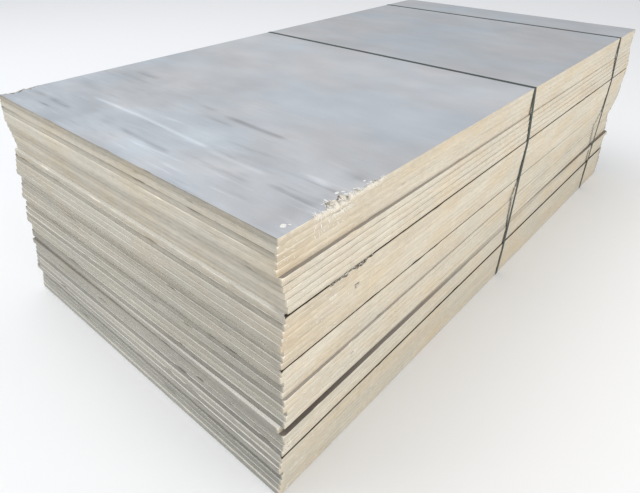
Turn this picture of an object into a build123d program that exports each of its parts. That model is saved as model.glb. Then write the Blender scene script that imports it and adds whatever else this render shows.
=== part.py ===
from build123d import *
import os
from math import atan, cos, degrees, tan

# One board: stock of 8 ft by 4 ft, sawn square on all four edges.
BOARD_LENGTH = 2440.0
BOARD_WIDTH = 1220.0
BOARD_THICKNESS = 18.0

# Faces that are not quite flat keep two boards of the stack this far apart.
AIR = 0.25

# The stack was laid down in lifts, a few boards at a time. Each lift leans along the length, so its
# lowest board stands out of the near short end by one amount and its highest by another.
# Each list goes from the floor up.
LIFT_BOARDS = [5, 6, 5, 5, 5, 5, 5, 5]
LIFT_FOOT_OUT = [6.0, 12.0, 6.0, 6.0, 6.0, 6.0, -14.0, 1.0]
LIFT_HEAD_OUT = [-2.0, -1.0, -8.0, -6.0, -6.0, -4.0, -2.0, 0.0]

# Across the width the boards form runs, which stand out of the front long side by one amount at the
# near corner and by another at mid-length, so boards are turned a little. Both amounts go in even steps
# from the run's lowest board to its highest. A board that lies back between two runs leaves a slot.
# Each list goes from the floor up.
RUN_BOARDS = [8, 4, 1, 5, 5, 8, 5, 5]
RUN_FOOT_OUT = [3.0, 9.0, 0.0, 11.5, 5.5, 7.5, 12.5, -2.0]
RUN_HEAD_OUT = [12.0, 14.0, 0.0, 13.5, 10.0, 15.5, 7.5, 0.0]
RUN_MIDDLE_FOOT_OUT = [1.0, 1.5, 2.0, 0.5, -4.0, 6.0, 10.0, -1.0]
RUN_MIDDLE_HEAD_OUT = [5.5, 4.0, 2.0, -1.0, 6.5, 12.5, 4.5, 0.0]

# Every board also lies a little off its place, by at most this much.
SLACK = 0.4
GOLDEN = 0.618034

# Two flat polyester straps go round the width and lie taut on whatever stands out furthest.
STRAP_WIDTH = 16.0
STRAP_THICKNESS = 0.9
STRAP_CLEARANCE = 0.3

# Where the straps lie, from the far short end.
STRAP_MIDDLE_FROM_END = 1215.0
STRAP_END_FROM_END = 244.0

# The strap's end is welded over its start on the rear long side, at this height.
LAP_LENGTH = 60.0
LAP_HEIGHT = 450.0


def board_by_board(counts, feet, heads):
    """A stand-out for every board from the floor up: even steps from a group's lowest to its highest."""
    return [
        foot + (head - foot) * k / max(count - 1, 1)
        for count, foot, head in zip(counts, feet, heads)
        for k in range(count)
    ]


def off_place(index):
    """A fixed scatter between plus and minus SLACK."""
    return SLACK * (2 * (index * GOLDEN % 1) - 1)


end_outs = board_by_board(LIFT_BOARDS, LIFT_FOOT_OUT, LIFT_HEAD_OUT)
corner_outs = board_by_board(RUN_BOARDS, RUN_FOOT_OUT, RUN_HEAD_OUT)
middle_outs = board_by_board(RUN_BOARDS, RUN_MIDDLE_FOOT_OUT, RUN_MIDDLE_HEAD_OUT)
pitch = BOARD_THICKNESS + AIR
underside = STRAP_THICKNESS + STRAP_CLEARANCE


def place(index):
    """Where board number index lies: its middle in x and y, its underside's height, its turn in radians."""
    turn = atan((corner_outs[index] - middle_outs[index]) / (BOARD_LENGTH / 2))
    x = -end_outs[index] + off_place(index)
    y = -middle_outs[index] + off_place(index + 7)
    return x, y, underside + index * pitch, turn


def make_board(index):
    x, y, z, turn = place(index)
    slab = Box(
        BOARD_LENGTH,
        BOARD_WIDTH,
        BOARD_THICKNESS,
        align=(Align.CENTER, Align.CENTER, Align.MIN),
    )
    return Pos(x, y, z) * Rot(0, 0, degrees(turn)) * slab


def side_lines(index, station):
    """The board's two side faces in the cross-section at a strap, as upright lines in y and z."""
    x, y, z, turn = place(index)
    spread = abs(tan(turn)) * STRAP_WIDTH / 2
    middle = y + tan(turn) * (station - x)
    half = BOARD_WIDTH / 2 / cos(turn) + spread
    return [
        Edge.make_line((side, z), (side, z + BOARD_THICKNESS))
        for side in (middle - half, middle + half)
    ]


def taut_loop(outline, distance):
    """The outline grown by a distance, with its four corners rounded as a bent strap is."""
    loop = offset(outline, distance, kind=Kind.INTERSECTION)
    levels = loop.vertices().group_by(Axis.Y)
    return fillet(levels[0] + levels[-1], distance)


def make_strap(station):
    """The taut outline of the stack, one strap thick, with a welded lap on the rear side."""
    lines = [line for index in range(len(end_outs)) for line in side_lines(index, station)]
    outline = make_hull(lines)
    inner = taut_loop(outline, STRAP_CLEARANCE)
    outer = taut_loop(outline, STRAP_CLEARANCE + STRAP_THICKNESS)
    lap = taut_loop(outline, STRAP_CLEARANCE + 2 * STRAP_THICKNESS)
    window = Pos(BOARD_WIDTH / 2, LAP_HEIGHT) * Rectangle(BOARD_WIDTH / 2, LAP_LENGTH)
    band = outer + (lap & window) - inner
    plane = Plane.YZ.offset(station - STRAP_WIDTH / 2)
    return extrude(plane * band, STRAP_WIDTH)


nodes = {}
first = 0
for number, count in enumerate(LIFT_BOARDS, start=1):
    nodes[f"lift_{number}"] = [make_board(index) for index in range(first, first + count)]
    first += count
nodes["strap_middle"] = [make_strap(BOARD_LENGTH / 2 - STRAP_MIDDLE_FROM_END)]
nodes["strap_end"] = [make_strap(BOARD_LENGTH / 2 - STRAP_END_FROM_END)]

# The origin is under the middle of the whole pack.
box = Compound(children=[solid for solids in nodes.values() for solid in solids]).bounding_box()
to_origin = Pos(-box.center().X, -box.center().Y, -box.min.Z)

os.makedirs("parts", exist_ok=True)
for name, solids in nodes.items():
    export_step(Compound(children=[to_origin * solid for solid in solids]), f"parts/{name}.step")
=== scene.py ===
# %% [markdown]
# A strapped pack of fibreboard: lifts of plain boards that have slipped a little, tied with two flat straps.
# The solids carry every size and place. This script measures the boards on them and gives them what the saw,
# the forklift and the yard leave behind: rubbed arrises, chips, torn fibres, smears and dust. It also paints
# shade into joints, tears, ledges, the slot, the top's far half and low down, highlights on some arrises, and
# skylight into the top's cool grey.

import bpy
import numpy as np
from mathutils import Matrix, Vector


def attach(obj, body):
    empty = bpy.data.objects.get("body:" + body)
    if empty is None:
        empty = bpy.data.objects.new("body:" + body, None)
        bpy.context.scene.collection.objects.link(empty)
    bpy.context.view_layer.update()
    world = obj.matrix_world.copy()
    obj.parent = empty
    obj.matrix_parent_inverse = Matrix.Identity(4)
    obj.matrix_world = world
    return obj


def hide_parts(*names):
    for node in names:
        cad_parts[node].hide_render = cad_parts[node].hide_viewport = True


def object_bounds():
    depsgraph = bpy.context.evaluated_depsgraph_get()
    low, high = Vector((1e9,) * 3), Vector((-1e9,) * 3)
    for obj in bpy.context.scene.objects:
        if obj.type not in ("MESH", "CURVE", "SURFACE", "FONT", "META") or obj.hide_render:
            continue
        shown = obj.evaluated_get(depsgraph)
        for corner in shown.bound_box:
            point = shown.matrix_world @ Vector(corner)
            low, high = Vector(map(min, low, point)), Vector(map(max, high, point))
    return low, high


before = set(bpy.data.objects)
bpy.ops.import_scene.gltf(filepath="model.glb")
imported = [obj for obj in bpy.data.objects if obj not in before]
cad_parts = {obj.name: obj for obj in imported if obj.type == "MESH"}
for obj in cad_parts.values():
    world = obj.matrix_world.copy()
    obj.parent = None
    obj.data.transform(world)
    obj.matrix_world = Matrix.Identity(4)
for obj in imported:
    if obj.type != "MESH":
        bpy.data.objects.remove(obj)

MM = 0.001
cad_low, cad_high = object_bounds()
print("solids:", sorted(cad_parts))

# %% [markdown]
# Nothing is retyped that the solids already say. A lift is a few boxes, so the heights of its vertices come
# in pairs, and the four corners at each upper height are the outline of one board.

# %% Measure the boards
LIFTS = sorted(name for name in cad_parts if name.startswith("lift_"))


def vertices_of(node):
    """All vertices of a solid as rows of x, y, z."""
    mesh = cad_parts[node].data
    flat = np.empty(3 * len(mesh.vertices))
    mesh.vertices.foreach_get("co", flat)
    return flat.reshape(-1, 3)


def boards_of(node):
    """For each board of a lift, from the floor up: the heights of its underside and top, and its corners.

    The corners go round counter-clockwise from the near front one."""
    points = np.unique(np.round(vertices_of(node), 5), axis=0)
    heights = np.unique(points[:, 2])
    boards = []
    for low, high in zip(heights[0::2], heights[1::2]):
        corners = points[points[:, 2] == high][:, :2]
        middle = corners.mean(axis=0)
        turn = np.arctan2(corners[:, 1] - middle[1], corners[:, 0] - middle[0])
        boards.append((low, high, corners[np.argsort(turn)]))
    return boards


measured = {node: boards_of(node) for node in LIFTS}
all_boards = [board for node in LIFTS for board in measured[node]]
print("boards:", len(all_boards))

# %% [markdown]
# A sawn board could be a bevelled box, but a bevel is the same all the way round and a real arris is not:
# it is rubbed by a tenth of a millimetre here and broken off by a centimetre there.
# So each board is a stack of rings round its outline. A ring is the outline moved inwards by one function of
# the way round, at a height that is another. Stations on the outline are closest at the near front corner.

# %% Outline of one board
REACH = 480 * MM


def stations(length, fine, coarse):
    """Distances along one side from the near corner: short steps as far as REACH, then long ones."""
    near = np.linspace(0, REACH, int(round(REACH / fine)) + 1)
    far = np.linspace(REACH, length, int(round((length - REACH) / coarse)) + 1)
    return np.concatenate([near, far[1:]])


def outline(along, across):
    """The way round a board, counter-clockwise from the near front corner: front, far end, rear, near end.

    Gives each station's distance along and across, the outward direction there, the number of its side, and
    the places of the four corners."""
    length, width = along[-1], across[-1]
    nx, ny = len(along) - 1, len(across) - 1
    u = np.concatenate([along[:-1], np.full(ny, length), along[:0:-1], np.zeros(ny)])
    v = np.concatenate([np.zeros(nx), across[:-1], np.full(nx, width), across[:0:-1]])
    side = np.repeat([0, 1, 2, 3], [nx, ny, nx, ny])
    out_u = np.array([0.0, 1.0, 0.0, -1.0])[side]
    out_v = np.array([-1.0, 0.0, 1.0, 0.0])[side]
    corners = np.array([0, nx, nx + ny, 2 * nx + ny])
    out_u[corners] = [-1, 1, 1, -1]
    out_v[corners] = [-1, -1, 1, 1]
    return u, v, out_u, out_v, side, corners


# %% [markdown]
# Wear is two numbers at each station: how far a break runs in over the face, and how far it runs down the
# edge. It could be sculpted by hand, but there are 41 boards with eight arrises each. So rubbing is smooth
# random noise in both numbers, and every chip adds one rounded bump to both.

# %% Rubbed arrises and small chips
RUB = 0.06 * MM
CHIPS_ON_A_SIDE = 4
# ranges in millimetres
CHIP_HALF_LENGTH = (8, 30)
CHIP_DEPTH = (0.6, 2.4)
CORNER_DEPTH = (0.6, 3.0)


def smooth_noise(rng, count, width):
    """Random numbers of spread 1, each averaged with its neighbours round the closed outline."""
    raw = rng.normal(size=count)
    window = np.hanning(2 * width + 3)
    ring = np.concatenate([raw[-width - 1:], raw, raw[:width + 1]])
    return np.convolve(ring, window, "valid") / np.sqrt((window**2).sum())


def bump(way, middle, half):
    """A half ellipse of height 1 over the stretch from middle - half to middle + half."""
    return np.sqrt(np.clip(1 - ((way - middle) / half) ** 2, 0, None))


def wear(rng, u, v, side, corners):
    """Run in and run down at each station: rubbing, a few chips on each side, and knocked corners."""
    count = len(u)
    run_in = RUB * (1.2 + 0.6 * np.abs(smooth_noise(rng, count, 2)))
    run_down = RUB * (1.0 + 0.6 * np.abs(smooth_noise(rng, count, 2)))
    way = np.where(side % 2 == 0, u, v)
    for number in range(4):
        on_side = side == number
        for middle in rng.uniform(0, way[on_side].max(), CHIPS_ON_A_SIDE):
            shape = on_side * bump(way, middle, rng.uniform(*CHIP_HALF_LENGTH) * MM)
            run_in = run_in + shape * rng.uniform(*CHIP_DEPTH) * MM
            run_down = run_down + shape * rng.uniform(*CHIP_DEPTH) * MM
    run_in[corners] += rng.uniform(*CORNER_DEPTH, 4) * MM
    run_down[corners] += rng.uniform(*CORNER_DEPTH, 4) * MM
    return run_in, run_down


# %% [markdown]
# A few breaks are large enough to be told apart. Each belongs to one board, counted from the top, and to a
# stretch of one of its long edges. Where a fork has torn the edge, the break is ragged.
# Three joints gape: the arris under them is crushed along its whole length, and painted shade darkens
# the groove. Some tears have painted shade in their ragged hollows.

# %% Torn edges and gaping joints
FRONT, REAR = 0, 2
FRESH, SHADED = 0.0, 1.0
# board from the top, side; start, end, furthest in and furthest down in mm; fresh (pale) or darkened by
# painted shade in its ragged hollow
TORN_EDGES = [
    (1, REAR, 6, 136, 30, 4.5, 0.4 * SHADED),
    (1, FRONT, 104, 262, 22, 13, FRESH),
    (1, FRONT, 240, 350, 8, 6, FRESH),
    (2, FRONT, 150, 240, 3, 8, FRESH),
    (11, FRONT, 140, 310, 7, 10, SHADED),
    (13, FRONT, 150, 178, 3, 8, FRESH),
    (14, FRONT, 246, 268, 6, 24, SHADED),
    (26, FRONT, 232, 252, 5, 22, SHADED),
    (32, FRONT, 2, 30, 3, 9, FRESH),
    (33, FRONT, 2, 34, 4, 9, FRESH),
]
TORN_BOARDS = {board for board, *tear in TORN_EDGES}
# board from the top; furthest in and furthest down in mm, along the whole front edge
GAPING_JOINTS = [(11, 9, 2.6), (19, 8, 2.2), (34, 8, 2.2)]


def torn_edge(rng, number, u, side):
    """For one board: how fresh and how shaded each station's tear is, from 0 to 1, and what the tears add
    to run in and run down. The shade is painted shade in the hollow. A tear is a bump over its stretch
    times noise of two widths."""
    fresh, shaded_tear, extra_in, extra_down = np.zeros((4, len(u)))
    for board, torn_side, *sizes, tear_shade in TORN_EDGES:
        start, end, far_in, far_down = np.multiply(sizes, MM)
        ragged = 0.5 + 0.28 * smooth_noise(rng, len(u), 1) + 0.25 * smooth_noise(rng, len(u), 4)
        ragged = np.clip(ragged, 0.06, 1.0)
        if board == number:
            shape = (side == torn_side) * bump(u, (start + end) / 2, (end - start) / 2)
            fresh = np.maximum(fresh, shape * (1 - tear_shade))
            # how much painted shade lies in the ragged hollow
            shaded_tear = np.maximum(shaded_tear, shape * tear_shade)
            extra_in = extra_in + far_in * shape * ragged
            extra_down = extra_down + far_down * shape * np.roll(ragged, 2)
    return fresh, shaded_tear, extra_in, extra_down


def gaping_joint(rng, number, side):
    """For one board: how far in and down its upper front edge is crushed, so that the joint over it gapes."""
    extra_in, extra_down = np.zeros((2, len(side)))
    for board, *sizes in GAPING_JOINTS:
        far_in, far_down = np.multiply(sizes, MM)
        uneven = np.clip(0.9 + 0.08 * smooth_noise(rng, len(side), 6), 0.7, 1.0)
        if board == number:
            extra_in = extra_in + (side == FRONT) * far_in * uneven
            extra_down = extra_down + (side == FRONT) * far_down * uneven
    return extra_in, extra_down


def broken_edge(rng, number, u, v, side, corners):
    """All that is missing from one board's edge: the run in and run down of the breaks at its top and at its
    underside, how fresh the top's tear is and how much painted shade it has, and 1 where the joint over
    it gapes."""
    in_top, down_top = wear(rng, u, v, side, corners)
    in_low, down_low = wear(rng, u, v, side, corners)
    fresh, shaded_tear, torn_in, torn_down = torn_edge(rng, number, u, side)
    gape_in, gape_down = gaping_joint(rng, number, side)
    return {
        "in_top": in_top + torn_in + gape_in,
        "down_top": down_top + torn_down + gape_down,
        "in_low": in_low,
        "down_low": down_low,
        "fresh": fresh,
        "shaded_tear": shaded_tear,
        "torn": np.maximum(fresh, shaded_tear),
        "gaping": (gape_in > 0).astype(float),
    }


print("torn edges:", len(TORN_EDGES), "gaping joints:", len(GAPING_JOINTS))

# %% [markdown]
# The seven rings from the top down: rim of the upper face, hollow of the break, edge below the break, foot of
# the rubbed arris, middle of the edge, edge above the lower break, rim of the underside. Quads join each ring
# to the next, and one flat face closes each rim.

# %% Rings of one board
RINGS_OF_A_BOARD, SAWN_RINGS = 7, 4
SAW_WAVE = 0.16 * MM
ARRIS = 2.5 * MM
# the hollow of a break lies at this share of it, deeper and rougher where it is torn
HOLLOW, TORN_HOLLOW, TORN_ROUGHNESS = 0.45, 0.22, 0.15
# where a joint gapes, the hollow goes less far in and further down, so that the crushed arris is a groove
GROOVE_IN, GROOVE_DOWN = 0.25, 0.45


def ring_places(rng, low, high, broken):
    """Inset and height of each ring at each station: the breaks above and below, and between them the sawn
    edge with its slight wave. The middle ring goes down where a tear is deeper than half the board."""
    in_top, down_top, gaping = broken["in_top"], broken["down_top"], broken["gaping"]
    count = len(in_top)
    rough = np.clip(smooth_noise(rng, count, 1), -1, 1)
    hollow = broken["torn"] * (TORN_HOLLOW + TORN_ROUGHNESS * rough)
    waves = [np.clip(smooth_noise(rng, count, 1), -1, 1) for ring in range(SAWN_RINGS)]
    sawn = [SAW_WAVE * (1.1 + wave) for wave in waves]
    insets = [in_top, (HOLLOW + hollow - GROOVE_IN * gaping) * in_top, *sawn, broken["in_low"]]
    middle = np.minimum(0.5 * (low + high), high - down_top - 1 * MM)
    heights = [
        np.full(count, high),
        high - (HOLLOW + hollow + GROOVE_DOWN * gaping) * down_top,
        high - down_top,
        np.maximum(high - down_top - ARRIS, middle + 0.3 * MM),
        middle,
        np.minimum(low + broken["down_low"], middle - 0.5 * MM),
        np.full(count, low),
    ]
    return insets, heights


def ring_faces(count):
    """Quads from each ring to the next all the way round, and the two flat faces inside the outer rings."""
    ring = np.arange(count)
    after = (ring + 1) % count
    upper = count * np.arange(RINGS_OF_A_BOARD - 1)[:, None]
    lower = upper + count
    quads = np.stack([lower + ring, lower + after, upper + after, upper + ring], axis=-1)
    underside = lower[-1] + ring[::-1]
    return quads.reshape(-1, 4), underside.tolist(), ring.tolist()


# %% [markdown]
# The top board's upper face could be one flat face like the others, but its smears are numbers on its points,
# so it needs points all over. It is a grid whose border is the first ring.

# %% Upper face of the top board
TOP_BOARD = 1
RIM_REACH = 120 * MM


def top_grid(along, across, rim_in, first, height):
    """Inner points of the grid, and quads that share its border with the first ring. Rows near the front side
    move in with the rim there, by less and less as far as RIM_REACH."""
    nx, ny = len(along) - 1, len(across) - 1
    ring = np.arange(2 * (nx + ny))
    index = np.empty((nx + 1, ny + 1), int)
    index[:-1, 0], index[-1, :-1] = ring[:nx], ring[nx:nx + ny]
    index[:0:-1, -1], index[0, :0:-1] = ring[nx + ny:2 * nx + ny], ring[2 * nx + ny:]
    u, v = np.meshgrid(along[1:-1], across[1:-1], indexing="ij")
    v = v + rim_in[1:nx, None] * np.clip(1 - v / RIM_REACH, 0, None)
    index[1:-1, 1:-1] = first + np.arange(u.size).reshape(u.shape)
    quads = np.stack([index[:-1, :-1], index[1:, :-1], index[1:, 1:], index[:-1, 1:]], axis=-1)
    return np.column_stack([u.ravel(), v.ravel(), np.full(u.size, height)]), quads.reshape(-1, 4)


# %% [markdown]
# A material can't know by itself where an edge is torn or rubbed. It could be painted, but the script has
# worked it out already, so numbers ride on the points: torn, deep in the core, painted shade, rubbed and
# painted highlight, yellowed, and on an end. Each is a value round the outline times a share on each ring.

# %% Numbers on the edge
# rubbed arrises are palest at the near corner and fade over this length
ARRIS_FADE = 420 * MM
# painted highlight on the arris (+) or painted shade in the joint (-) over a board, on all sides but the
# front, for boards from the top
PAINTED_JOINT_LIGHT = {
    2: -0.35, 3: -0.75, 4: 1.0, 5: 0.3, 6: 0.5, 7: -0.8, 8: -0.2, 9: -0.3, 10: -0.8, 11: 0.9,
    12: -0.6, 14: 0.0, 15: 0.0, 19: -0.3, 23: -0.5, 24: -0.1, 28: -0.4, 33: -0.4, 35: 0.0,
}
# the same for any other board, from one to the other
OTHER_JOINT_LIGHT = (-0.7, 0.9)
# boards, from the top, that have yellowed most near the front corner
YELLOWED = {*range(1, 6), *range(11, 19)}
# the board that lies back in the slot has painted shade on its front edge, most of all a little behind
# the near corner
SLOT_BOARD, SLOT_START, SLOT_FADE = 29, 30 * MM, 900 * MM
ALL_RINGS = np.ones(RINGS_OF_A_BOARD)


def on_rings(values, shares, size):
    """A number for each point: the value at its station times its ring's share, and 0 off the rings."""
    rings = np.outer(shares, values).ravel()
    return np.concatenate([rings, np.zeros(size - len(rings))])


def edge_numbers(rng, number, u, side, broken, size):
    """The numbers for one board's points. Painted shade sums gaping joints and shaded tears, pockets in
    fresh tears, joints painted dark, and the slot."""
    count = len(u)
    near_corner = np.exp(-u / ARRIS_FADE) * (side == FRONT)
    rubbed_and_highlit = near_corner * np.clip(0.8 + 0.4 * smooth_noise(rng, count, 2), 0, 1)
    # on the ends and rear the joints get painted highlight where pale and painted shade where dark
    joint_light = PAINTED_JOINT_LIGHT.get(number, rng.uniform(*OTHER_JOINT_LIGHT)) * (side != FRONT)
    joint_light = joint_light * np.clip(0.75 + 0.3 * smooth_noise(rng, count, 5), 0, 1)
    rubbed_and_highlit = rubbed_and_highlit + np.clip(joint_light, 0, 1)
    # painted shade in gaping joints and in shaded tears
    shaded_joint = np.maximum(broken["gaping"] * (1 - 0.3 * broken["shaded_tear"]), 0.75 * broken["shaded_tear"])
    # painted shadow in the pockets between fresh flakes
    pocket_shade = broken["fresh"] * np.clip(1.3 * smooth_noise(rng, count, 1), 0, 1)
    # painted shade on the slot board's front edge
    slot_shade = np.exp(-u / SLOT_FADE) * np.clip(u / SLOT_START, 0, 1)
    slot_shade = slot_shade * (side == FRONT) * (number == SLOT_BOARD)
    painted_shade = (
        on_rings(shaded_joint, [1, 1, 0.3, 0, 0, 0, 0], size)
        + on_rings(pocket_shade, [0.9, 0.45, 0, 0, 0, 0, 0], size)
        + on_rings(np.clip(-joint_light, 0, 1), [1, 1, 0.9, 0.3, 0, 0, 0], size)
        + on_rings(slot_shade, 0.8 * ALL_RINGS, size)
    )
    return {
        "torn": on_rings(broken["fresh"], [0.3, 1.0, 0.8, 0.6, 0.25, 0, 0], size),
        "core": on_rings(np.ones(count), [0, 0, 0, 0.4, 1, 0, 0], size),
        "painted_shade": painted_shade,
        "rubbed_and_highlit": on_rings(rubbed_and_highlit, [0.5, 1, 1, 0.3, 0, 0, 0], size),
        "yellow": on_rings(near_corner * (number in YELLOWED), ALL_RINGS, size),
        "end": on_rings(side % 2, ALL_RINGS, size),
    }


# %% [markdown]
# Now one whole board. It is worked out in its own directions, along and across, as if it lay square, and then
# laid where the solid lies, which may be turned a little.

# %% Surface of one board
FINE, COARSE = 8 * MM, 28 * MM
TORN_FINE, TORN_COARSE = 4 * MM, 20 * MM
# boards press on one another: their upper faces stand this much closer to the next board than the solids' do
CLOSER = 0.2 * MM
# a station counts as torn, and grows flakes, from here on
PLAINLY_TORN = 0.2
BELOW_THE_BREAK = 2
FIRST_SEED = 1000


def board_surface(board, number):
    """One closed board: points, quads of its edge, flat faces, numbers on its points, how far along and
    across they lie, and the points at the top and foot of its tears."""
    rng = np.random.default_rng(FIRST_SEED + number)
    low, high, corners = board
    high = high + CLOSER
    u_axis, v_axis = corners[1] - corners[0], corners[3] - corners[0]
    length, width = np.linalg.norm(u_axis), np.linalg.norm(v_axis)
    fine, coarse = (TORN_FINE, TORN_COARSE) if number in TORN_BOARDS else (FINE, COARSE)
    along, across = stations(length, fine, coarse), stations(width, fine, coarse)
    u, v, out_u, out_v, side, knocked = outline(along, across)
    count = len(u)
    broken = broken_edge(rng, number, u, v, side, knocked)
    insets, heights = ring_places(rng, low, high, broken)
    local = [np.column_stack([u - out_u * d, v - out_v * d, z]) for d, z in zip(insets, heights)]
    edge_quads, underside, upper_face = ring_faces(count)
    flat_faces = [underside, upper_face]
    if number == TOP_BOARD:
        inner, quads = top_grid(along, across, broken["in_top"], RINGS_OF_A_BOARD * count, high)
        local.append(inner)
        flat_faces = [underside, *quads.tolist()]
    local = np.concatenate(local)
    plan = corners[0] + np.outer(local[:, 0], u_axis / length) + np.outer(local[:, 1], v_axis / width)
    points = np.column_stack([plan, local[:, 2]])
    tears = np.flatnonzero(broken["torn"] > PLAINLY_TORN)
    return {
        "points": points,
        "edge_quads": edge_quads,
        "flat_faces": flat_faces,
        "numbers": edge_numbers(rng, number, u, side, broken, len(points)),
        "along": local[:, 0],
        "across": local[:, 1],
        "break_high": points[tears],
        "break_low": points[BELOW_THE_BREAK * count + tears],
    }


# %% [markdown]
# Smears on the top board are where something was dragged across it: lines across the width, darker or
# lighter than the face. They could be strokes in an image, but an image has no size of its own. So each is a
# soft line in millimetres: a bell across it, ramps at its ends, and a slight drift. A few dark ones at the
# torn rim are painted shade of the broken pocket, and painted shade darkens the far half.

# %% Smears on the top board
# in mm: distance from the near end, start and end from the front side, half width; lighter (+) or darker (-)
SMEARS_AND_SHADE = [
    (95, 1090, 1195, 7, -0.45),
    (95, 930, 1085, 8, -0.80),
    (99, 620, 800, 8, -0.30),
    (98, 450, 700, 8, -0.60),
    (118, 190, 325, 6, -0.40),
    (136, 5, 180, 7, -0.60),
    (137, 215, 270, 6, -0.55),
    (185, 410, 990, 6.5, 0.75),
    (170, 190, 420, 7, 0.45),
    (226, 50, 140, 9, 0.60),
    (322, 460, 620, 9, -0.30),
    (355, 300, 555, 9, -0.85),
    (368, 590, 690, 8, -0.35),
    (450, 980, 1150, 14, -0.35),
    (250, 1010, 1200, 16, -0.25),
    (395, 1020, 1190, 40, -0.25),
    (205, 205, 360, 26, -0.18),
    (300, 10, 90, 34, -0.35),
    # these four dark ones along the torn rim are painted shade of the broken pocket
    (160, 8, 80, 14, -0.45),
    (186, 8, 62, 9, -0.60),
    (214, 10, 74, 8, -0.65),
    (298, 8, 56, 8, -0.70),
    (120, 20, 110, 30, -0.25),
    (560, 650, 1180, 60, -0.12),
    (60, 60, 1150, 50, 0.16),
    (110, 840, 1240, 100, -0.25),
    (420, 900, 1240, 160, -0.14),
    (215, 420, 980, 45, 0.20),
]
START_RAMP, END_RAMP = 30 * MM, 45 * MM
DRIFT, DRIFT_WAVE, DRIFT_SLOPE = 3 * MM, 90 * MM, 0.02
# painted shade: the half beyond the middle strap is darker
FAR_HALF, FAR_FADE, FAR_SHADE = 1150 * MM, 160 * MM, 0.33
# drag marks fade out over this length from the near end
DRAGGED_REACH = 700 * MM


def smear_and_shade_amount(u, v):
    """The sum over all smears of strength times a bell across the line times straight ramps at its two ends,
    less painted shade beyond the middle strap."""
    total = np.zeros(len(u))
    for *sizes, strength in SMEARS_AND_SHADE:
        place, start, end, half = np.multiply(sizes, MM)
        drift = DRIFT * np.sin(v / DRIFT_WAVE) + DRIFT_SLOPE * (v - start)
        bell = np.exp(-(((u - place - drift) / half) ** 2))
        ends = np.clip((v - start) / START_RAMP, 0, 1) * np.clip((end - v) / END_RAMP, 0, 1)
        total = total + strength * bell * ends
    beyond_strap = np.clip((u - FAR_HALF) / FAR_FADE, 0, 1)
    return total - FAR_SHADE * beyond_strap


print("smears:", len(SMEARS_AND_SHADE))

# %% [markdown]
# Grey dust and painted shade lie on a board where it stands well out from under the next one. How far it
# does is measured at both ends of the front edge and goes evenly from one to the other. In the slot and on
# the deepest ledges the painted shade is darker.

# %% Dusty and shaded ledges
FULL_LEDGE_STEP = 9 * MM
# the slot's ledge counts double, enough to show its darker painted shade
SLOT_SHADE = 2.0
NO_LEDGE = -1.0


def ledge_amount(board, number, u):
    """Dust and painted shade on a board's ledge at distance u: its stand-out as a share of the full step,
    doubled in the slot, or NO_LEDGE on the top board.
    """
    if number == TOP_BOARD:
        return np.full(len(u), NO_LEDGE)
    corners, corners_above = board[2], all_boards[-(number - 1)][2]
    steps = corners_above[:2, 1] - corners[:2, 1]
    share = u / np.linalg.norm(corners[1] - corners[0])
    dust = (steps[0] + share * (steps[1] - steps[0])) / FULL_LEDGE_STEP
    return dust * (SLOT_SHADE if number == SLOT_BOARD else 1.0)


# %% [markdown]
# Every board has a tone of its own. It hardly shows on the long sides, but on the ends some boards are
# plainly paler or darker. With that, all numbers for a board's points are together.

# %% Tone of one board
# boards, from the top, whose ends are plainly paler or darker than the rest
PALE_ENDS = {2, 4, 5, 8, 10, 16, 21, 27, 31, 34, 36, 40, 41}
DARK_ENDS = {1, 12, 17, 22, 24, 28, 33, 37, 38}
PALE_TINT, DARK_TINT = 0.8, -1.0
# how much of its own tone any other board shows on its ends, and every board on its long sides
OTHER_TINT, LONG_TINT = 0.3, 0.12


def end_tint(number, own_tint):
    """The tone of a board's ends: pale, dark, or a share of the board's own."""
    if number in PALE_ENDS:
        return PALE_TINT
    if number in DARK_ENDS:
        return DARK_TINT
    return OTHER_TINT * own_tint


def board_numbers(board, number, made, own_tint):
    """Those of the edge, the tone, and for the faces smears with painted shade, lying open, dragging, and
    dust with painted shade on the ledge.
    """
    u, v = made["along"], made["across"]
    lies_open = np.full(len(u), float(number == TOP_BOARD))
    long_tint = LONG_TINT * own_tint
    return {
        **made["numbers"],
        "tint": long_tint + (end_tint(number, own_tint) - long_tint) * made["numbers"]["end"],
        "smear_and_shade": lies_open * smear_and_shade_amount(u, v),
        "open": lies_open,
        "dragged": lies_open * np.clip(1 - u / DRAGGED_REACH, 0, 1),
        "ledge": ledge_amount(board, number, u),
    }


# %% [markdown]
# All boards of a lift go into one mesh as separate closed shells, and that mesh stands for the lift's solids.
# One object for each board would do as well, but the solids come as lifts.
# Boards are counted from the top down, because the top is what one sees first.

# %% Build the lifts
EDGE, FACE = 0, 1


def add_piece(name, points, faces, numbers):
    """A mesh object at the origin from rows of points and lists of faces, with numbers on its points."""
    mesh = bpy.data.meshes.new(name)
    mesh.from_pydata(points.tolist(), [], faces)
    for label, values in numbers.items():
        layer = mesh.attributes.new(label, "FLOAT", "POINT")
        layer.data.foreach_set("value", np.asarray(values, dtype=np.float32))
    piece = bpy.data.objects.new(name, mesh)
    bpy.context.collection.objects.link(piece)
    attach(piece, "root")
    return piece


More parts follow.
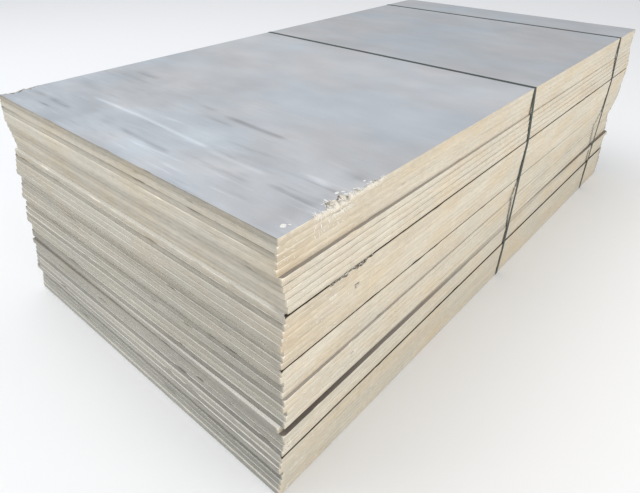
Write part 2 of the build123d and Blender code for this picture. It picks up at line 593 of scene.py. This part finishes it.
tint_rng = np.random.default_rng(5)
lift_pieces, breaks = [], []
number = len(all_boards)
for node in LIFTS:
    points, faces, kinds, numbers = [], [], [], []
    first = 0
    for board in measured[node]:
        made = board_surface(board, number)
        points.append(made["points"])
        faces += (made["edge_quads"] + first).tolist()
        faces += [[first + corner for corner in face] for face in made["flat_faces"]]
        kinds += [EDGE] * len(made["edge_quads"]) + [FACE] * len(made["flat_faces"])
        numbers.append(board_numbers(board, number, made, tint_rng.uniform(-1, 1)))
        breaks.append((number, made["break_high"], made["break_low"]))
        first += len(made["points"])
        number -= 1
    together = {label: np.concatenate([each[label] for each in numbers]) for label in numbers[0]}
    piece = add_piece(node + "_boards", np.concatenate(points), faces, together)
    piece.data.polygons.foreach_set("material_index", kinds)
    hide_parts(node)
    lift_pieces.append(piece)
    print(piece.name, "faces:", len(faces))

# %% [markdown]
# Where an edge is torn, fibres hang from the break in flakes. A hair system could scatter them, but it leaves
# no mesh to keep. One flake is a leaf here: a diamond section that is carried along a bent path and tapers to
# its tip. All leaves are worked out at once, as one array with a row for each, and go into one mesh.

# %% Leaves of fibre
TAPER = np.array([0.55, 1.0, 0.85, 0.5, 0.08])
SECTION = np.array([[1, 0], [0, 1], [-1, 0], [0, -1]])
# how far leaves keep inside the pack's top and its two long sides
TOP_MARGIN, SIDE_MARGIN = 0.1 * MM, 0.05 * MM


def unit(rows):
    """Every row divided by its length."""
    return rows / np.linalg.norm(rows, axis=1, keepdims=True)


def leaves(rng, start, lay, curl, facing, wide_range, thick_range):
    """One leaf for every row: path = start + t * lay + t squared * curl, for t from 0 to 1, with a diamond
    section times TAPER, wide across the lay and thick towards the side it faces, by halves drawn from two
    ranges in mm."""
    half_width = rng.uniform(*wide_range, (len(start), 1)) * MM
    half_thick = rng.uniform(*thick_range, (len(start), 1)) * MM
    across = unit(np.cross(lay, facing))
    outwards = unit(np.cross(lay, across))
    t = np.linspace(0, 1, len(TAPER))[None, :, None]
    path = start[:, None] + t * lay[:, None] + t**2 * curl[:, None]
    wide = SECTION[:, :1] * (across * half_width)[:, None, :]
    thick = SECTION[:, 1:] * (outwards * half_thick)[:, None, :]
    return path[:, :, None, :] + TAPER[None, :, None, None] * (wide + thick)[:, None, :, :]


def leaf_faces(made):
    """Quads between the sections of every leaf and one quad over each of its two ends."""
    sections, corners = made.shape[1], made.shape[2]
    index = np.arange(sections * corners).reshape(sections, corners)
    after = np.roll(index, -1, axis=1)
    sides = np.stack([index[:-1], after[:-1], after[1:], index[1:]], axis=-1).reshape(-1, 4)
    one = np.concatenate([sides, index[:1, ::-1], index[-1:]])
    return (one[None] + np.arange(len(made))[:, None, None] * index.size).reshape(-1, 4)


def add_leaves(name, made):
    """All leaves as one piece, kept within the pack's top and its two long sides."""
    made[..., 2] = np.minimum(made[..., 2], cad_high[2] - TOP_MARGIN)
    made[..., 1] = np.clip(made[..., 1], cad_low[1] + SIDE_MARGIN, cad_high[1] - SIDE_MARGIN)
    piece = add_piece(name, made.reshape(-1, 3), leaf_faces(made).tolist(), {})
    print(name, "leaves:", len(made))
    return piece


# %% [markdown]
# Some flakes hang out of the break any way round. On the top board others have been pressed flat: they lie in
# clumps on its face and reach in from the torn rim.

# %% Flakes of torn fibre
FLAKES_AT_A_STATION = 5
LYING_AT_A_STATION = 2.2


def hanging_flakes(rng, high, low):
    """Leaves that start on the break between high and low and hang out of it any way round."""
    high = np.repeat(high, FLAKES_AT_A_STATION, axis=0)
    low = np.repeat(low, FLAKES_AT_A_STATION, axis=0)
    count = len(high)
    share = rng.uniform(0.1, 0.85, (count, 1))
    start = high + share * (low - high) + [0, 1.5 * MM, -1.0 * MM]
    way = unit(rng.normal([0, -0.5, -0.1], [0.8, 0.7, 0.6], (count, 3)))
    lay = way * rng.uniform(3, 11, (count, 1)) * MM
    curl = rng.normal([0, -0.5, 0.2], 1.0, (count, 3)) * 2.0 * MM
    facing = rng.normal(size=(count, 3))
    return leaves(rng, start, lay, curl, facing, wide_range=(0.4, 1.3), thick_range=(0.25, 0.5))


def lying_flakes(rng, rim):
    """Leaves that lie flat on the top board in clumps and reach in over its face from the torn rim."""
    clumps = np.clip(0.55 + 0.9 * smooth_noise(rng, len(rim), 1), 0, None)
    rim = np.repeat(rim, rng.poisson(LYING_AT_A_STATION * clumps), axis=0)
    count = len(rim)
    scatter = rng.normal(0, 1, (count, 3)) * [3, 3, 0] * MM
    scatter[:, 1] = np.abs(scatter[:, 1])
    start = rim + scatter + [0, -3 * MM, 0.35 * MM]
    angle = rng.normal(np.pi / 2, 0.8, count)
    size = (4 + 13 * rng.uniform(size=(count, 1)) ** 2) * MM
    lay = np.column_stack([np.cos(angle), np.sin(angle), np.zeros(count)]) * size
    curl = rng.normal(size=(count, 3)) * [2.5, 1.5, 0] * MM
    upwards = np.tile([0.0, 0.0, 1.0], (count, 1))
    return leaves(rng, start, lay, curl, upwards, wide_range=(0.4, 1.3), thick_range=(0.2, 0.3))


flake_rng = np.random.default_rng(77)
hanging = [hanging_flakes(flake_rng, high, low) for number, high, low in breaks if len(high)]
top_rim = next(high for number, high, low in breaks if number == TOP_BOARD)
lying = lying_flakes(flake_rng, top_rim[top_rim[:, 1] < 0])
flake_piece = add_leaves("torn_fibre_flakes", np.concatenate([*hanging, lying]))

# %% [markdown]
# Loose fibres cling to the sawn long side too, most of them near the corner. These are the same leaves, laid
# flat on the edges: two in three along the board, the rest more upright. Under the torn edge a few broad
# wisps hang down over the upper boards.

# %% Fibres on the long side
FIBRES = 500
FIBRE_REACH = 230 * MM
UPRIGHT_SHARE = 0.35
WISPS, WISP_BOARDS = 18, 3
WISP_STRETCH = (95 * MM, 215 * MM)
board_lows, board_highs, board_corners = (np.array(column) for column in zip(*all_boards))
near_corners = board_corners[:, 0]
front_runs = unit(board_corners[:, 1] - near_corners)


def clinging_fibres(rng, count):
    """Leaves on the front edges: any board, at a distance from the corner that falls off over FIBRE_REACH."""
    board = rng.integers(0, len(all_boards), count)
    thick = board_highs[0] - board_lows[0]
    run = front_runs[board]
    place = near_corners[board] + run * rng.exponential(FIBRE_REACH, (count, 1))
    start = np.column_stack([place, board_lows[board] + rng.uniform(0.15, 0.85, count) * thick])
    steep = rng.uniform(size=count) < UPRIGHT_SHARE
    angle = np.where(steep, rng.uniform(0.9, 1.7, count), rng.normal(0, 0.1, count))
    size = rng.uniform(4, 13, count) * np.where(steep, 0.6, 1.0) * MM
    lay = np.column_stack([run * np.cos(angle)[:, None], np.sin(angle)]) * size[:, None]
    curl = rng.normal(size=(count, 3)) * [0.6, 0.15, 0.5] * MM
    facing = np.column_stack([run[:, 1], -run[:, 0], np.zeros(count)])
    return leaves(rng, start, lay, curl, facing, wide_range=(0.3, 0.8), thick_range=(0.2, 0.4))


def hanging_wisps(rng, count):
    """Broad leaves that start on one of the upper boards' edges and hang down, leaning a little."""
    board = rng.integers(len(all_boards) - WISP_BOARDS, len(all_boards), count)
    place = near_corners[board] + front_runs[board] * rng.uniform(*WISP_STRETCH, (count, 1))
    start = np.column_stack([place, board_highs[board] - rng.uniform(1, 12, count) * MM])
    size = rng.uniform(7, 20, (count, 1)) * MM
    lean = rng.normal(0, 0.7, count)
    lay = unit(np.column_stack([lean, np.full(count, -0.03), np.full(count, -1.0)])) * size
    curl = rng.normal(size=(count, 3)) * [3.5, 0.2, 1.0] * MM
    forwards = np.tile([0.0, -1.0, 0.0], (count, 1))
    return leaves(rng, start, lay, curl, forwards, wide_range=(0.5, 1.4), thick_range=(0.25, 0.45))


fibre_rng = np.random.default_rng(34)
clinging = clinging_fibres(fibre_rng, FIBRES)
hanging_down = hanging_wisps(fibre_rng, WISPS)
fibre_piece = add_leaves("clinging_fibres", np.concatenate([clinging, hanging_down]))

# %% [markdown]
# Crumbs of the broken edge lie on the top board. An icosphere with a displacement could be one, but a grid of
# latitude and longitude whose radius changes with both is as simple and needs no modifier. It is squashed
# flat enough to lie on the face like a flake.

# %% Crumbs on the top board
# in mm: distance from the near end, from the front side, half length, half width
CRUMBS = [
    (40, 24, 7, 6),
    (52, 17, 3, 2.5),
    (172, 27, 5, 3),
    (214, 30, 6, 4),
    (228, 24, 4, 3),
    (300, 20, 4, 2.5),
]
CRUMB_HEIGHT = 1.05 * MM
CRUMB_LIFT = 0.02 * MM
LUMPS = 0.28
RINGS, SPOKES = 5, 10
POINTS_OF_A_CRUMB = RINGS * SPOKES + 2


def crumb(rng, place, half_length, half_width):
    """A squashed ball on the face: radius = 1 + noise, times its half sizes, with a point at each pole."""
    tilt = np.linspace(0, np.pi, RINGS + 2)[1:-1, None]
    around = np.linspace(0, 2 * np.pi, SPOKES, endpoint=False)[None, :]
    radius = 1 + rng.uniform(-LUMPS, LUMPS, (RINGS, SPOKES))
    x = half_length * radius * np.sin(tilt) * np.cos(around)
    y = half_width * radius * np.sin(tilt) * np.sin(around)
    z = 0.5 * CRUMB_HEIGHT * (1 + np.cos(tilt)) + 0 * around
    turn = rng.uniform(0, np.pi)
    turned_x, turned_y = x * np.cos(turn) - y * np.sin(turn), x * np.sin(turn) + y * np.cos(turn)
    turned = np.stack([turned_x, turned_y, z], axis=-1)
    poles = np.array([[0, 0, CRUMB_HEIGHT], [0, 0, 0]])
    return np.concatenate([turned.reshape(-1, 3), poles]) + place


def crumb_faces():
    """Quads between the rings of latitude, and triangles from the last rings to the poles."""
    index = np.arange(RINGS * SPOKES).reshape(RINGS, SPOKES)
    after = np.roll(index, -1, axis=1)
    quads = np.stack([index[1:], after[1:], after[:-1], index[:-1]], axis=-1).reshape(-1, 4).tolist()
    upper = np.stack([index[0], after[0], np.full(SPOKES, RINGS * SPOKES)], axis=-1).tolist()
    lower = np.stack([after[-1], index[-1], np.full(SPOKES, RINGS * SPOKES + 1)], axis=-1).tolist()
    return quads + upper + lower


crumb_rng = np.random.default_rng(12)
top_low, top_high, top_corners = all_boards[-1]
crumb_points, all_crumb_faces = [], []
for sizes in CRUMBS:
    along, across, half_length, half_width = np.multiply(sizes, MM)
    place = [*(top_corners[0] + [along, across]), top_high + CRUMB_LIFT]
    shift = len(crumb_points) * POINTS_OF_A_CRUMB
    crumb_points.append(crumb(crumb_rng, place, half_length, half_width))
    all_crumb_faces += [[corner + shift for corner in face] for face in crumb_faces()]
crumb_piece = add_piece("edge_crumbs", np.concatenate(crumb_points), all_crumb_faces, {})
print("crumbs:", len(CRUMBS))

# %% [markdown]
# Colours are written as the sRGB values one would pick on a screen and turned to linear light for the
# shader. One helper wires the sockets of any node, to fixed values or to what feeds them; another adds any
# node and gives one of its outputs. The rest are chains and values that come up often.

# %% Colour and node helpers
TIMES = {"operation": "MULTIPLY"}
MIX_COLOURS = {"data_type": "RGBA"}


def colour(code):
    """A hex colour as linear red, green, blue and alpha: the sRGB curve undone."""
    srgb = np.array([int(code[k:k + 2], 16) for k in (1, 3, 5)]) / 255
    linear = np.where(srgb <= 0.04045, srgb / 12.92, ((srgb + 0.055) / 1.055) ** 2.4)
    return (*linear.tolist(), 1.0)


def wire(tree, node, values={}, links={}):
    """Sets sockets of a node to values and links others to the outputs that feed them."""
    for key, value in values.items():
        node.inputs[key].default_value = value
    for key, source in links.items():
        tree.links.new(source, node.inputs[key])


def add(tree, kind, properties={}, values={}, links={}, out=0):
    """Adds a shader node, sets its properties, wires its sockets and gives one of its outputs."""
    node = tree.nodes.new("ShaderNode" + kind)
    for key, value in properties.items():
        setattr(node, key, value)
    wire(tree, node, values, links)
    return node.outputs[out]


def ramp(start, end, low, high):
    """Socket values for a straight ramp from low at start to high at end."""
    return {"From Min": start, "From Max": end, "To Min": low, "To Max": high}


def noise(tree, place, size, detail=3.0, stretch=(1.0, 1.0, 1.0)):
    """Noise whose lumps are about size wide, drawn out along an axis where stretch is above 1."""
    scale = tuple(1 / (size * factor) for factor in stretch)
    moved = add(tree, "Mapping", values={"Scale": scale}, links={"Vector": place})
    return add(tree, "TexNoise", values={"Scale": 1.0, "Detail": detail}, links={"Vector": moved})


def sum_of(tree, start, *parts):
    """start plus the sum of every (amount, source): a chain of multiply-and-add nodes."""
    total = None
    for amount, source in parts:
        links = {0: source} if total is None else {0: source, 2: total}
        values = {1: amount, 2: start} if total is None else {1: amount}
        total = add(tree, "Math", {"operation": "MULTIPLY_ADD"}, values, links)
    return total


def coated(tree, under, *coats):
    """under with every (amount, colour) laid over it in turn: a chain of mixes."""
    for amount, code in coats:
        under = add(tree, "Mix", MIX_COLOURS, {7: colour(code)}, {0: amount, 6: under}, out=2)
    return under


def new_material(name):
    """A material with its Principled shader, and the output of Object coordinates to read patterns from."""
    material = bpy.data.materials.new(name)
    material.use_nodes = True
    tree = material.node_tree
    return material, tree, tree.nodes["Principled BSDF"], add(tree, "TexCoord", out="Object")


# %% [markdown]
# A sawn edge of medium density fibreboard is pressed wood fibre laid open: matt, beige, a little furry. The
# pressing leaves a dense darker skin at each face and a paler core with fine level layers. The blade went
# through a whole lift at once, so faint upright lines run on from board to board. Torn fibre is paler.
# An image gives the colours but not the layers at their true 3 mm, so patterns are noise of a real size.

# %% Sawn fibreboard edge
FIBRE_IOR = 1.46
SAWN_ROUGHNESS = 0.85
EDGE_NUMBERS = ("core", "torn", "painted_shade", "rubbed_and_highlit", "yellow", "end", "tint")


def sawn_edge_colour(tree, told, place, end_shade):
    """Skin to core, tan patches, yellowed near the corner, painted grey shade on the ends, pale where rubbed
    and at painted highlights.
    """
    tan_patches = noise(tree, place, 130 * MM, 4.0, (1.6, 1.6, 0.6))
    tan = add(tree, "MapRange", values=ramp(0.42, 0.72, 0.0, 0.5), links={0: tan_patches})
    yellow = add(tree, "Math", TIMES, {1: 0.45}, {0: told["yellow"]})
    skin_and_core = {6: colour("#cac2b0"), 7: colour("#d0c9ba")}
    body = add(tree, "Mix", MIX_COLOURS, skin_and_core, {0: told["core"]}, out=2)
    coats = [(tan, "#ccb692"), (yellow, "#b8a588"), (end_shade, "#a5a49c"), (told["rubbed_and_highlit"], "#f7efdd")]
    return coated(tree, body, *coats)


def sawn_fibreboard_edge():
    """The colour above times light from layers, specks, saw lines and painted shade, under torn fibre and
    painted shade.
    """
    material, tree, shader, place = new_material("sawn fibreboard edge")
    told = {label: add(tree, "Attribute", {"attribute_name": label}, out="Fac") for label in EDGE_NUMBERS}
    height = add(tree, "SeparateXYZ", links={0: place}, out="Z")
    across = add(tree, "SeparateXYZ", links={0: place}, out="Y")
    # painted shade: every side darker near the floor, and the ends greyer, most of all low down
    low_shade = add(tree, "MapRange", values=ramp(0.0, 0.5, -0.16, 0.0), links={0: height})
    low_end_shade = add(tree, "MapRange", values=ramp(0.0, 0.6, 0.95, 0.35), links={0: height})
    end_shade = add(tree, "Math", TIMES, links={0: low_end_shade, 1: told["end"]})
    # where the ends are greyed they are made brighter, but towards the front corner darker instead
    inwards = add(tree, "MapRange", values=ramp(-0.55, -0.05, -0.5, 1.0), links={0: across})
    end_brightness = add(tree, "Math", TIMES, links={0: end_shade, 1: inwards})
    layers = noise(tree, place, 3 * MM, 3.0, (90, 90, 1))
    # real fibre bundles are about 2 mm; drawn coarser here so that they show
    specks = noise(tree, place, 3.5 * MM, 4.0, (7, 7, 1))
    saw_lines = noise(tree, place, 9 * MM, 2.0, (1, 1, 40))
    clouds = noise(tree, place, 220 * MM, 3.0, (1, 1, 0.4))
    patterns = [(0.42, layers), (0.46, specks), (0.08, saw_lines), (0.22, clouds)]
    light = sum_of(tree, 0.41, *patterns, (0.19, told["tint"]), (0.20, end_brightness), (1.0, low_shade))
    toned = sawn_edge_colour(tree, told, place, end_shade)
    shaded = add(tree, "VectorMath", {"operation": "SCALE"}, links={0: toned, "Scale": light})
    worn = coated(tree, shaded, (told["torn"], "#efe8da"), (told["painted_shade"], "#30281f"))
    relief = sum_of(tree, 0.0, (0.6, layers), (0.5, specks), (0.1, saw_lines))
    bumps = add(tree, "Bump", values={"Strength": 0.5, "Distance": 0.4 * MM}, links={"Height": relief})
    matt = {"Roughness": SAWN_ROUGHNESS, "IOR": FIBRE_IOR}
    wire(tree, shader, matt, {"Base Color": worn, "Normal": bumps})
    return material


edge_material = sawn_fibreboard_edge()
print(edge_material.name, "nodes:", len(edge_material.node_tree.nodes))

# %% [markdown]
# The face is the pressed and sanded skin: closed, smooth, faintly satin. Between boards it is clean and pale,
# with grey dust and painted shade on front ledges, darkest on deep ones and in the slot. The top board has
# lain open: its cool grey, cloudy over hands' breadths, is dust and painted skylight, with drag lines at the
# near end and the smears and painted shade worked out above.

# %% Pressed fibreboard face
FACE_NUMBERS = ("smear_and_shade", "dragged", "tint", "open", "ledge")


def pressed_face_colour(tree, told, place):
    """Clean and pale, or where it lies open a cool grey of dust and painted skylight, with dust and painted
    shade on front ledges and darker painted shade on deep ledges and in the slot.
    """
    # the top board's cool grey is dust and painted skylight
    film = noise(tree, place, 300 * MM, 4.0, (1, 1.4, 1))
    coolness = add(tree, "MapRange", values=ramp(0.38, 0.62, 0.0, 1.0), links={0: film})
    greys = {6: colour("#b6b6b7"), 7: colour("#afb5bb")}
    dusty_skylit_grey = add(tree, "Mix", MIX_COLOURS, greys, {0: coolness}, out=2)
    clean = {6: colour("#e6e3db")}
    body = add(tree, "Mix", MIX_COLOURS, clean, {0: told["open"], 7: dusty_skylit_grey}, out=2)
    across = add(tree, "SeparateXYZ", links={0: place}, out="Y")
    # dust and painted shade on ledges at the front only, darker painted shade on deep ledges and in the slot
    at_front = add(tree, "MapRange", values=ramp(-0.575, -0.595, 0.0, 1.0), links={0: across})
    stands_out = add(tree, "MapRange", values=ramp(-0.25, 1.0, 0.0, 1.0), links={0: told["ledge"]})
    dust = add(tree, "Math", TIMES, links={0: at_front, 1: stands_out})
    deep_ledge_shade = add(tree, "MapRange", values=ramp(1.05, 1.5, 0.0, 0.8), links={0: told["ledge"]})
    return coated(tree, body, (dust, "#a19a94"), (deep_ledge_shade, "#6b635a"))


def drag_marks(tree, told, place):
    """Fine lines and broad scuffs across the width where the face was dragged over. The cube keeps only the
    strongest lines of the noise, pale and dark."""
    lines = noise(tree, place, 13 * MM, 3.0, (1, 14, 1))
    off_middle = add(tree, "Math", {"operation": "SUBTRACT"}, {1: 0.5}, {0: lines})
    strongest = add(tree, "Math", {"operation": "POWER"}, {1: 3.0}, {0: off_middle})
    drags = add(tree, "Math", TIMES, links={0: strongest, 1: told["dragged"]})
    patches = noise(tree, place, 110 * MM, 6.0, (1, 2.2, 1))
    scuffs = add(tree, "MapRange", values=ramp(0.46, 0.58, -0.3, 0.7), links={0: patches})
    return drags, add(tree, "Math", TIMES, links={0: scuffs, 1: told["dragged"]})


def pressed_fibreboard_face():
    """The colour above times light from clouds, mottle, grain, drag marks and smears."""
    material, tree, shader, place = new_material("pressed fibreboard face")
    told = {label: add(tree, "Attribute", {"attribute_name": label}, out="Fac") for label in FACE_NUMBERS}
    clouds = noise(tree, place, 380 * MM, 3.0, (0.8, 1.3, 1))
    mottle = noise(tree, place, 70 * MM, 4.0, (1, 2, 1))
    # sanding leaves a grain far below a millimetre; drawn coarser here so that it shows
    grain = noise(tree, place, 2.5 * MM, 2.0)
    drags, scuffed = drag_marks(tree, told, place)
    patterns = [(0.40, clouds), (0.30, mottle), (0.10, grain), (20.0, drags), (0.12, scuffed)]
    light = sum_of(tree, 0.63, *patterns, (0.40, told["smear_and_shade"]), (0.03, told["tint"]))
    body = pressed_face_colour(tree, told, place)
    shaded = add(tree, "VectorMath", {"operation": "SCALE"}, links={0: body, "Scale": light})
    sheen = sum_of(tree, 0.38, (0.30, mottle))
    bumps = add(tree, "Bump", values={"Strength": 0.25, "Distance": 0.2 * MM}, links={"Height": grain})
    wire(tree, shader, {"IOR": FIBRE_IOR}, {"Base Color": shaded, "Roughness": sheen, "Normal": bumps})
    return material


face_material = pressed_fibreboard_face()
print(face_material.name, "nodes:", len(face_material.node_tree.nodes))

# %% [markdown]
# Loose fibre in flakes and crumbs is the pale core laid open on all sides, so it is nearly white and quite
# matt. One fine noise between two near whites is enough for pieces so small.

# %% Torn fibre
FLUFF_ROUGHNESS = 0.95


def torn_fibre():
    """Two near whites mixed by noise as fine as the fluff."""
    material, tree, shader, place = new_material("torn fibre")
    fluff = noise(tree, place, 3 * MM, 3.0)
    whites = {6: colour("#d8d4cc"), 7: colour("#fbfaf6")}
    shaded = add(tree, "Mix", MIX_COLOURS, whites, {0: fluff}, out=2)
    wire(tree, shader, {"Roughness": FLUFF_ROUGHNESS, "IOR": FIBRE_IOR}, {"Base Color": shaded})
    return material


fibre_material = torn_fibre()
print(fibre_material.name, "nodes:", len(fibre_material.node_tree.nodes))

# %% [markdown]
# The straps are green polyester band: drawn through rollers that press a small diamond pattern into it, so
# it is satin, not mirror-like. Dust dulls it here and there. The diamonds could be modelled, but they are a
# tenth of a millimetre deep, so a turned checker in the bump does.

# %% Embossed polyester strap
DIAMOND = 2.4 * MM
EIGHTH_TURN = 0.785
POLYESTER_IOR = 1.57


def embossed_polyester():
    """Dark green mixed with dusty green by noise, which also makes it duller, and diamonds in the bump."""
    material, tree, shader, place = new_material("embossed polyester strap")
    dust = noise(tree, place, 30 * MM, 4.0)
    greens = {6: colour("#0f1d18"), 7: colour("#22382f")}
    shaded = add(tree, "Mix", MIX_COLOURS, greens, {0: dust}, out=2)
    sheen = sum_of(tree, 0.38, (0.25, dust))
    turned = add(tree, "Mapping", values={"Rotation": (EIGHTH_TURN,) * 3}, links={"Vector": place})
    pressed = add(tree, "TexChecker", values={"Scale": 1 / DIAMOND}, links={"Vector": turned}, out="Fac")
    bumps = add(tree, "Bump", values={"Strength": 0.4, "Distance": 0.1 * MM}, links={"Height": pressed})
    wire(tree, shader, {"IOR": POLYESTER_IOR}, {"Base Color": shaded, "Roughness": sheen, "Normal": bumps})
    return material


strap_material = embossed_polyester()
print(strap_material.name, "nodes:", len(strap_material.node_tree.nodes))

# %% [markdown]
# A lift has two materials: its faces carry the number of the one they show, edge or face. The straps are the
# solids themselves, so they only change their material.

# %% Give every piece its material
for piece in lift_pieces:
    piece.data.materials.append(edge_material)
    piece.data.materials.append(face_material)
for piece in (flake_piece, fibre_piece, crumb_piece):
    piece.data.materials.append(fibre_material)
for node in ("strap_middle", "strap_end"):
    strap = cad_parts[node]
    strap.data.materials.clear()
    strap.data.materials.append(strap_material)
print("materials:", [material.name for material in bpy.data.materials])

# %% [markdown]
# The floor is a plain pale sheet. A broad warm light stands low in front of the long side, a broad cool one
# hangs above the rear and near end, so ledges on the long side stay dark and those on the short end catch
# light. A pale world fills the shadows, as daylight does.

# %% Floor and light
FLOOR_HALF = 30.0
FLOOR_ROUGHNESS = 0.9
WORLD_STRENGTH = 0.72


def area_light(name, place, target, size, power, code):
    """A soft light of width and height size at place, turned to look at target."""
    lamp = bpy.data.lights.new(name, "AREA")
    lamp.shape = "RECTANGLE"
    lamp.size, lamp.size_y = size
    lamp.energy = power
    lamp.color = colour(code)[:3]
    light = bpy.data.objects.new(name, lamp)
    light.location = place
    light.rotation_euler = (Vector(target) - Vector(place)).to_track_quat("-Z", "Y").to_euler()
    bpy.context.collection.objects.link(light)


floor_corners = FLOOR_HALF * np.array([(-1, -1, 0), (1, -1, 0), (1, 1, 0), (-1, 1, 0)])
floor_mesh = bpy.data.meshes.new("floor")
floor_mesh.from_pydata(floor_corners.tolist(), [], [[0, 1, 2, 3]])
floor = bpy.data.objects.new("floor", floor_mesh)
bpy.context.collection.objects.link(floor)
floor_material, floor_tree, floor_shader = new_material("pale floor")[:3]
wire(floor_tree, floor_shader, {"Base Color": colour("#f8f8f8"), "Roughness": FLOOR_ROUGHNESS})
floor.data.materials.append(floor_material)

area_light(
    "long side light", place=(-0.8, -6.0, 1.7), target=(0.0, 0.0, 0.4),
    size=(7.0, 3.0), power=162.0, code="#fcf8f2",
)
area_light(
    "sky light", place=(-2.1, 2.6, 6.6), target=(0.0, 0.0, 0.5),
    size=(6.0, 6.0), power=235.0, code="#f6f8fc",
)
world = bpy.data.worlds.new("studio")
world.use_nodes = True
sky = world.node_tree.nodes["Background"]
wire(world.node_tree, sky, {"Color": colour("#f5f7fa"), "Strength": WORLD_STRENGTH})
bpy.context.scene.world = world
bpy.context.scene.view_settings.view_transform = "Standard"
print("lights:", [light.name for light in bpy.data.lights])

# %% [markdown]
# The camera stands where the picture was taken: close to the near corner, a little above the top, with a
# fairly wide lens. It could be aimed at the pack, but then the upright edges would lean otherwise than in the
# picture. So it has the picture's own tilt and turn, and the shift puts the pack where it sits in the frame.

# %% Camera
IMAGE_WIDTH, IMAGE_HEIGHT = 640, 493
SENSOR_WIDTH = 36.0
FOCAL_PIXELS = 555.1
CENTRE_X, CENTRE_Y = 285.5, 183.0
ELEVATION, AZIMUTH = 27.51, -47.13
# from the top board's near front corner, in metres
EYE_FROM_CORNER = (-0.620, -0.595, 0.564)

camera_data = bpy.data.cameras.new("camera")
camera_data.sensor_width = SENSOR_WIDTH
camera_data.lens = FOCAL_PIXELS / IMAGE_WIDTH * SENSOR_WIDTH
camera_data.shift_x = (IMAGE_WIDTH / 2 - CENTRE_X) / IMAGE_WIDTH
camera_data.shift_y = -(IMAGE_HEIGHT / 2 - CENTRE_Y) / IMAGE_WIDTH
camera = bpy.data.objects.new("camera", camera_data)
camera.location = np.array([*top_corners[0], top_high]) + EYE_FROM_CORNER
camera.rotation_euler = np.radians([90 - ELEVATION, 0, AZIMUTH])
bpy.context.collection.objects.link(camera)
bpy.context.scene.camera = camera
print("lens:", round(camera_data.lens, 2), "mm")
